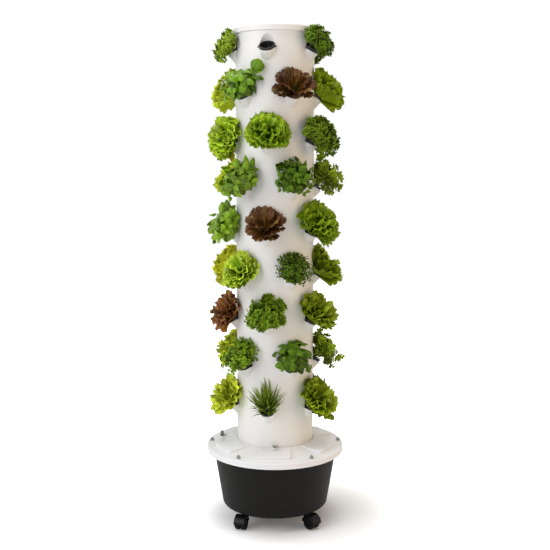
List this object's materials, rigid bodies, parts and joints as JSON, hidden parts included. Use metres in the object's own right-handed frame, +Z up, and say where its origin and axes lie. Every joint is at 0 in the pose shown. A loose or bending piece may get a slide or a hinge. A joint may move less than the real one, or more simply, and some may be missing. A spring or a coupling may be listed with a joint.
{
  "type": "hydroponic tower",
  "caption": "Free-standing hydroponic tower: round white column of leaning plant pockets with net cups and leafy plants, on a black water tub with a white lid and casters.",
  "frame": {"origin": "on the floor under the column's axis", "axes": "+Z up along the column, -Y towards the front, +X to the right seen from the front"},
  "size_m": [0.451, 0.451, 1.6057],
  "materials": {
    "column_white": "white moulded plastic, satin",
    "lid_white": "cool white moulded plastic, satin",
    "tub_black": "charcoal moulded plastic, soft sheen",
    "cup_black": "black moulded plastic",
    "leaves": "fresh leaves",
    "plug_fibre": "rough fibre",
    "zinc": "dull zinc plate",
    "gland_grey": "dark grey nylon",
    "pipe_grey": "grey pipe",
    "pump_black": "moulded pump casing",
    "rotor_dark": "coated magnet and impeller",
    "rubber": "soft rubber",
    "caster_black": "black nylon",
    "wheel_black": "black wheel",
    "pin_steel": "bright steel"
  },
  "bodies": {
    "tower": {"distributor_dish": "pipe_grey", "drain_tray": "lid_white", "gland_body": "gland_grey", "gland_nut": "gland_grey", "grow_plugs": "plug_fibre", "lid_bolts": "zinc", "lid_nuts": "zinc", "net_cups": "cup_black", "outlet_adapter": "pipe_grey", "plants_tier_1": "leaves", "plants_tier_2": "leaves", "plants_tier_3": "leaves", "plants_tier_4": "leaves", "plants_tier_5": "leaves", "plants_tier_6": "leaves", "plants_tier_7": "leaves", "plants_tier_8": "leaves", "plants_tier_9": "leaves", "pump_cover": "pump_black", "pump_feet": "rubber", "pump_motor": "pump_black", "reservoir_lid": "lid_white", "reservoir_tub": "tub_black", "riser_couplings": "pipe_grey", "riser_pipe_1": "pipe_grey", "riser_pipe_2": "pipe_grey", "riser_pipe_3": "pipe_grey", "tier_ring_1": "column_white", "tier_ring_2": "column_white", "tier_ring_3": "column_white", "tier_ring_4": "column_white", "tier_ring_5": "column_white", "tier_ring_6": "column_white", "tier_ring_7": "column_white", "tier_ring_8": "column_white", "tier_ring_9": "column_white", "top_collar": "column_white"},
    "cap": {"top_cap": "column_white"},
    "empty_cup": {"empty_net_cup": "cup_black"},
    "hatch": {"fill_hatch": "lid_white"},
    "clamp_screw": {"column_clamp_screw": "zinc"},
    "rotor": {"pump_rotor": "rotor_dark"},
    "caster_1": {"caster_yoke_1": "caster_black", "caster_pins_1": "pin_steel"},
    "wheel_1_left": {"caster_wheel_1_left": "wheel_black"},
    "wheel_1_right": {"caster_wheel_1_right": "wheel_black"},
    "caster_2": {"caster_yoke_2": "caster_black", "caster_pins_2": "pin_steel"},
    "wheel_2_left": {"caster_wheel_2_left": "wheel_black"},
    "wheel_2_right": {"caster_wheel_2_right": "wheel_black"},
    "caster_3": {"caster_yoke_3": "caster_black", "caster_pins_3": "pin_steel"},
    "wheel_3_left": {"caster_wheel_3_left": "wheel_black"},
    "wheel_3_right": {"caster_wheel_3_right": "wheel_black"},
    "caster_4": {"caster_yoke_4": "caster_black", "caster_pins_4": "pin_steel"},
    "wheel_4_left": {"caster_wheel_4_left": "wheel_black"},
    "wheel_4_right": {"caster_wheel_4_right": "wheel_black"}
  },
  "joints": [
    {"name": "cap_lift", "type": "slide", "parent": "tower", "child": "cap", "axis": [0, 0, 1], "range_m": [0, 0.1]},
    {"name": "empty_cup_lift", "type": "slide", "parent": "tower", "child": "empty_cup", "axis": [-0.1067, -0.5489, 0.829], "range_m": [0, 0.09]},
    {"name": "hatch_lift", "type": "slide", "parent": "tower", "child": "hatch", "axis": [0, 0, 1], "range_m": [0, 0.05]},
    {"name": "clamp_screw_turn", "type": "hinge", "parent": "tower", "child": "clamp_screw", "pos_m": [0, -0.138, 0.273], "axis": [0, 0, 1], "continuous": true},
    {"name": "rotor_spin", "type": "hinge", "parent": "tower", "child": "rotor", "pos_m": [0, 0, 0.091], "axis": [1, 0, 0], "continuous": true},
    {"name": "caster_1_swivel", "type": "hinge", "parent": "tower", "child": "caster_1", "pos_m": [-0.10041, -0.10041, 0.052], "axis": [0, 0, 1], "continuous": true},
    {"name": "wheel_1_left_spin", "type": "hinge", "parent": "caster_1", "child": "wheel_1_left", "pos_m": [-0.10887, -0.12499, 0.022], "axis": [0.9455, -0.3256, 0], "continuous": true},
    {"name": "wheel_1_right_spin", "type": "hinge", "parent": "caster_1", "child": "wheel_1_right", "pos_m": [-0.10887, -0.12499, 0.022], "axis": [0.9455, -0.3256, 0], "continuous": true},
    {"name": "caster_2_swivel", "type": "hinge", "parent": "tower", "child": "caster_2", "pos_m": [0.10041, -0.10041, 0.052], "axis": [0, 0, 1], "continuous": true},
    {"name": "wheel_2_left_spin", "type": "hinge", "parent": "caster_2", "child": "wheel_2_left", "pos_m": [0.11879, -0.11879, 0.022], "axis": [0.7071, 0.7071, 0], "continuous": true},
    {"name": "wheel_2_right_spin", "type": "hinge", "parent": "caster_2", "child": "wheel_2_right", "pos_m": [0.11879, -0.11879, 0.022], "axis": [0.7071, 0.7071, 0], "continuous": true},
    {"name": "caster_3_swivel", "type": "hinge", "parent": "tower", "child": "caster_3", "pos_m": [0.10041, 0.10041, 0.052], "axis": [0, 0, 1], "continuous": true},
    {"name": "wheel_3_left_spin", "type": "hinge", "parent": "caster_3", "child": "wheel_3_left", "pos_m": [0.11262, 0.12337, 0.022], "axis": [-0.8829, 0.4695, 0], "continuous": true},
    {"name": "wheel_3_right_spin", "type": "hinge", "parent": "caster_3", "child": "wheel_3_right", "pos_m": [0.11262, 0.12337, 0.022], "axis": [-0.8829, 0.4695, 0], "continuous": true},
    {"name": "caster_4_swivel", "type": "hinge", "parent": "tower", "child": "caster_4", "pos_m": [-0.10041, 0.10041, 0.052], "axis": [0, 0, 1], "continuous": true},
    {"name": "wheel_4_left_spin", "type": "hinge", "parent": "caster_4", "child": "wheel_4_left", "pos_m": [-0.12484, 0.1093, 0.022], "axis": [-0.342, -0.9397, 0], "continuous": true},
    {"name": "wheel_4_right_spin", "type": "hinge", "parent": "caster_4", "child": "wheel_4_right", "pos_m": [-0.12484, 0.1093, 0.022], "axis": [-0.342, -0.9397, 0], "continuous": true}
  ]
}
